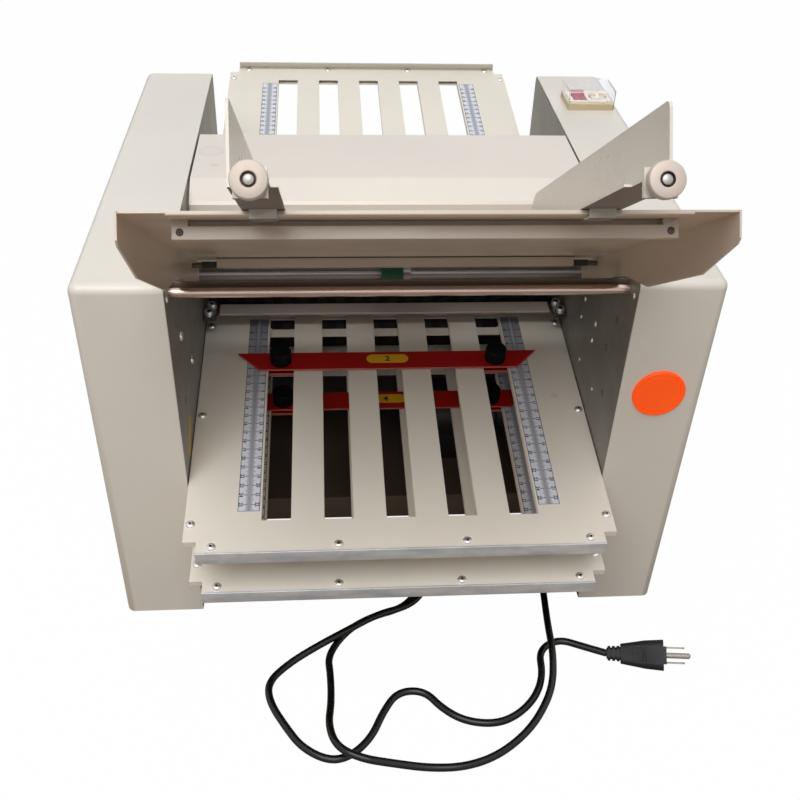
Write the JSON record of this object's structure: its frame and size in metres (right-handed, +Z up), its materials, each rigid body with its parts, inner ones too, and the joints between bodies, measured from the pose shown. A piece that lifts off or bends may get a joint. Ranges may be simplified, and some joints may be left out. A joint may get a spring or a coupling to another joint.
{
  "type": "paper folding machine",
  "caption": "Desk paper folding machine: two sheet casings carry a sloping feed table, a stack of fold rollers and slotted fold trays with sliding paper stops.",
  "frame": {"origin": "middle of the machine's footprint, on the surface that it stands on", "axes": "+X to the operator's right, +Y from the feed side to the delivery side, +Z up"},
  "size_m": [0.4919, 0.8916, 0.5471],
  "materials": {
    "casing_paint": "satin powder coat, warm light grey",
    "cover_paint": "satin powder coat, warm light grey",
    "tray_paint": "satin powder coat, beige grey",
    "zinc": "zinc plated",
    "steel": "ground steel",
    "chrome": "polished",
    "aluminium": "mill finish",
    "knob_steel": "turned",
    "black_steel": "black",
    "roller_steel": "knurled steel",
    "wheel_rubber": "green rubber",
    "black_rubber": "black rubber",
    "stop_red": "gloss red",
    "knob_black": "black plastic",
    "ruler": "printed film",
    "bronze": "sintered",
    "switch_beige": "beige plastic",
    "clear": "clear plastic",
    "switch_red": "red plastic",
    "orange": "orange plastic",
    "cord_black": "black PVC"
  },
  "bodies": {
    "machine": {"left_casing": "casing_paint", "right_casing": "casing_paint", "left_side_frame": "zinc", "right_side_frame": "zinc", "rubber_feet": "black_rubber", "base_pan": "zinc", "front_tie_bar": "chrome", "front_cross_sheet": "black_steel", "tray_crossbar": "steel", "feed_table": "casing_paint", "guide_rail_strip": "casing_paint", "separator_rod": "steel", "separator_block": "black_steel", "feed_guide_plate": "zinc", "roller_bearings": "bronze", "drive_motor": "black_steel", "drive_belts": "black_rubber", "delivery_chute": "zinc", "tray_1_plates": "tray_paint", "tray_2_plates": "tray_paint", "tray_3_plates": "tray_paint", "tray_4_plates": "tray_paint", "tray_end_rails": "aluminium", "tray_rulers": "ruler", "cap_screws": "chrome", "switch_base": "switch_beige", "cap_ring": "orange", "cord_gland": "knob_black", "power_cord": "cord_black", "plug": "cord_black"},
    "top_cover": {"top_cover": "cover_paint"},
    "left_side_guide": {"left_side_guide": "casing_paint"},
    "right_side_guide": {"right_side_guide": "casing_paint"},
    "left_guide_knob": {"left_guide_knob": "knob_steel"},
    "right_guide_knob": {"right_guide_knob": "knob_steel"},
    "feed_shaft": {"feed_shaft": "steel", "feed_wheel": "wheel_rubber"},
    "fold_roller_1": {"fold_roller_1": "roller_steel"},
    "fold_roller_2": {"fold_roller_2": "roller_steel"},
    "fold_roller_3": {"fold_roller_3": "roller_steel"},
    "fold_roller_4": {"fold_roller_4": "roller_steel"},
    "fold_roller_5": {"fold_roller_5": "roller_steel"},
    "fold_roller_6": {"fold_roller_6": "roller_steel"},
    "drive_gear": {"drive_gear": "steel"},
    "delivery_shaft": {"delivery_shaft": "steel"},
    "tray_1_stop_bar": {"tray_1_stop_bar": "stop_red"},
    "tray_1_left_knob": {"tray_1_left_knob": "knob_black"},
    "tray_1_right_knob": {"tray_1_right_knob": "knob_black"},
    "tray_2_stop_bar": {"tray_2_stop_bar": "stop_red"},
    "tray_2_left_knob": {"tray_2_left_knob": "knob_black"},
    "tray_2_right_knob": {"tray_2_right_knob": "knob_black"},
    "tray_3_stop_bar": {"tray_3_stop_bar": "stop_red"},
    "tray_3_left_knob": {"tray_3_left_knob": "knob_black"},
    "tray_3_right_knob": {"tray_3_right_knob": "knob_black"},
    "tray_4_stop_bar": {"tray_4_stop_bar": "stop_red"},
    "tray_4_left_knob": {"tray_4_left_knob": "knob_black"},
    "tray_4_right_knob": {"tray_4_right_knob": "knob_black"},
    "switch_lid": {"switch_lid": "clear"},
    "rocker_switch": {"rocker_switch": "switch_red"},
    "cap_disc": {"cap_disc": "orange"}
  },
  "joints": [
    {"name": "cover_hinge", "type": "hinge", "parent": "machine", "child": "top_cover", "pos_m": [0, 0.05565, 0.332], "axis": [-1, 0, 0], "range_deg": [0, 100]},
    {"name": "left_guide_slide", "type": "slide", "parent": "machine", "child": "left_side_guide", "axis": [1, 0, 0], "range_m": [-0.036, 0.058]},
    {"name": "right_guide_slide", "type": "slide", "parent": "machine", "child": "right_side_guide", "axis": [1, 0, 0], "range_m": [-0.058, 0.036]},
    {"name": "left_guide_knob_turn", "type": "hinge", "parent": "left_side_guide", "child": "left_guide_knob", "pos_m": [-0.0889, -0.44151, 0.53065], "axis": [0, -0.832, 0.5548], "range_deg": [-90, 270]},
    {"name": "right_guide_knob_turn", "type": "hinge", "parent": "right_side_guide", "child": "right_guide_knob", "pos_m": [0.0885, -0.44151, 0.53065], "axis": [0, -0.832, 0.5548], "range_deg": [-90, 270]},
    {"name": "feed_shaft_spin", "type": "hinge", "parent": "machine", "child": "feed_shaft", "pos_m": [0, -0.06935, 0.269], "axis": [1, 0, 0], "continuous": true},
    {"name": "fold_roller_1_spin", "type": "hinge", "parent": "machine", "child": "fold_roller_1", "pos_m": [0, 0.02274, 0.23369], "axis": [1, 0, 0], "continuous": true},
    {"name": "fold_roller_2_spin", "type": "hinge", "parent": "machine", "child": "fold_roller_2", "pos_m": [0, 0.02656, 0.20393], "axis": [1, 0, 0], "continuous": true},
    {"name": "fold_roller_3_spin", "type": "hinge", "parent": "machine", "child": "fold_roller_3", "pos_m": [0, 0.04474, 0.18007], "axis": [1, 0, 0], "continuous": true},
    {"name": "fold_roller_4_spin", "type": "hinge", "parent": "machine", "child": "fold_roller_4", "pos_m": [0, 0.03316, 0.15239], "axis": [1, 0, 0], "continuous": true},
    {"name": "fold_roller_5_spin", "type": "hinge", "parent": "machine", "child": "fold_roller_5", "pos_m": [0, 0.05134, 0.12853], "axis": [1, 0, 0], "continuous": true},
    {"name": "fold_roller_6_spin", "type": "hinge", "parent": "machine", "child": "fold_roller_6", "pos_m": [0, 0.03976, 0.10085], "axis": [1, 0, 0], "continuous": true},
    {"name": "drive_gear_spin", "type": "hinge", "parent": "machine", "child": "drive_gear", "pos_m": [0, 0.00668, 0.06607], "axis": [1, 0, 0], "continuous": true},
    {"name": "delivery_shaft_spin", "type": "hinge", "parent": "machine", "child": "delivery_shaft", "pos_m": [0, 0.12765, 0.09], "axis": [1, 0, 0], "continuous": true},
    {"name": "tray_1_stop_slide", "type": "slide", "parent": "machine", "child": "tray_1_stop_bar", "axis": [0, 0.9919, 0.1271], "range_m": [-0.032, 0.26]},
    {"name": "tray_1_left_knob_turn", "type": "hinge", "parent": "tray_1_stop_bar", "child": "tray_1_left_knob", "pos_m": [-0.0995, 0.13223, 0.23767], "axis": [0, -0.1271, 0.9919], "range_deg": [-180, 180]},
    {"name": "tray_1_right_knob_turn", "type": "hinge", "parent": "tray_1_stop_bar", "child": "tray_1_right_knob", "pos_m": [0.0995, 0.13223, 0.23767], "axis": [0, -0.1271, 0.9919], "range_deg": [-180, 180]},
    {"name": "tray_2_stop_slide", "type": "slide", "parent": "machine", "child": "tray_2_stop_bar", "axis": [0, -0.9919, -0.1271], "range_m": [-0.032, 0.165]},
    {"name": "tray_2_left_knob_turn", "type": "hinge", "parent": "tray_2_stop_bar", "child": "tray_2_left_knob", "pos_m": [-0.0995, -0.06487, 0.17706], "axis": [0, -0.1271, 0.9919], "range_deg": [-180, 180]},
    {"name": "tray_2_right_knob_turn", "type": "hinge", "parent": "tray_2_stop_bar", "child": "tray_2_right_knob", "pos_m": [0.0995, -0.06487, 0.17706], "axis": [0, -0.1271, 0.9919], "range_deg": [-180, 180]},
    {"name": "tray_3_stop_slide", "type": "slide", "parent": "machine", "child": "tray_3_stop_bar", "axis": [0, 0.9919, 0.1271], "range_m": [-0.032, 0.165]},
    {"name": "tray_3_left_knob_turn", "type": "hinge", "parent": "tray_3_stop_bar", "child": "tray_3_left_knob", "pos_m": [-0.0995, 0.13998, 0.17711], "axis": [0, -0.1271, 0.9919], "range_deg": [-180, 180]},
    {"name": "tray_3_right_knob_turn", "type": "hinge", "parent": "tray_3_stop_bar", "child": "tray_3_right_knob", "pos_m": [0.0995, 0.13998, 0.17711], "axis": [0, -0.1271, 0.9919], "range_deg": [-180, 180]},
    {"name": "tray_4_stop_slide", "type": "slide", "parent": "machine", "child": "tray_4_stop_bar", "axis": [0, -0.9919, -0.1271], "range_m": [-0.032, 0.165]},
    {"name": "tray_4_left_knob_turn", "type": "hinge", "parent": "tray_4_stop_bar", "child": "tray_4_left_knob", "pos_m": [-0.0995, -0.05827, 0.12552], "axis": [0, -0.1271, 0.9919], "range_deg": [-180, 180]},
    {"name": "tray_4_right_knob_turn", "type": "hinge", "parent": "tray_4_stop_bar", "child": "tray_4_right_knob", "pos_m": [0.0995, -0.05827, 0.12552], "axis": [0, -0.1271, 0.9919], "range_deg": [-180, 180]},
    {"name": "switch_lid_hinge", "type": "hinge", "parent": "machine", "child": "switch_lid", "pos_m": [0.2095, 0.17065, 0.345], "axis": [-1, 0, 0], "range_deg": [0, 100]},
    {"name": "rocker_tilt", "type": "hinge", "parent": "machine", "child": "rocker_switch", "pos_m": [0.2, 0.14865, 0.3475], "axis": [1, 0, 0], "range_deg": [-13, 0]},
    {"name": "cap_disc_turn", "type": "hinge", "parent": "machine", "child": "cap_disc", "pos_m": [0.2039, -0.20835, 0.2413], "axis": [0, -1, 0], "range_deg": [0, 90]}
  ],
  "couplings": [
    {"joint": "fold_roller_2_spin", "follows": "fold_roller_1_spin", "ratio": -1},
    {"joint": "fold_roller_3_spin", "follows": "fold_roller_1_spin", "ratio": 1},
    {"joint": "fold_roller_4_spin", "follows": "fold_roller_1_spin", "ratio": -1},
    {"joint": "fold_roller_5_spin", "follows": "fold_roller_1_spin", "ratio": 1},
    {"joint": "fold_roller_6_spin", "follows": "fold_roller_1_spin", "ratio": -1},
    {"joint": "drive_gear_spin", "follows": "fold_roller_1_spin", "ratio": 0.45455},
    {"joint": "feed_shaft_spin", "follows": "fold_roller_1_spin", "ratio": -1},
    {"joint": "delivery_shaft_spin", "follows": "fold_roller_1_spin", "ratio": 1}
  ]
}
